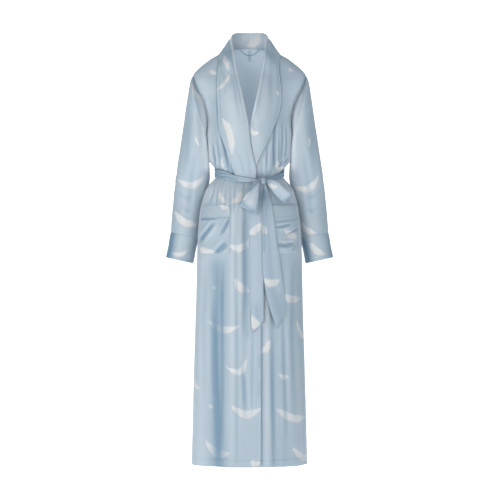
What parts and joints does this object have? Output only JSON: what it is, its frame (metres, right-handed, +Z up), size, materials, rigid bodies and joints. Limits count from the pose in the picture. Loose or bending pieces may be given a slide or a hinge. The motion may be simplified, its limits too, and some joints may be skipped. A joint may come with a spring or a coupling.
{
  "type": "dressing robe",
  "caption": "Full-length satin dressing robe with shawl collar, patch pockets, cuffed sleeves and a tied belt, filled out as if worn.",
  "frame": {"origin": "inside the neck, level with the points where the collar meets the shoulder line, on the centre plane", "axes": "+X to the wearer's left, -Y to the front, +Z up"},
  "size_m": [0.556, 0.2771, 1.4277],
  "materials": {
    "satin": "pale blue satin with scattered feather motifs",
    "belt_satin": "pale blue satin, creased",
    "trim": "plain pale blue cord and tape"
  },
  "bodies": {
    "root": {"back": "satin", "front_right": "satin", "front_left": "satin", "sleeve_right": "satin", "sleeve_left": "satin", "cuff_right": "satin", "cuff_left": "satin", "collar_right": "satin", "collar_left": "satin", "pocket_right": "satin", "pocket_left": "satin", "pocket_band_right": "satin", "pocket_band_left": "satin", "belt": "belt_satin", "belt_knot": "belt_satin", "bow_loop_right": "belt_satin", "bow_loop_left": "belt_satin", "belt_tail_right": "belt_satin", "belt_tail_left": "belt_satin", "hanger_loop": "trim", "neck_tab": "trim"}
  },
  "joints": []
}
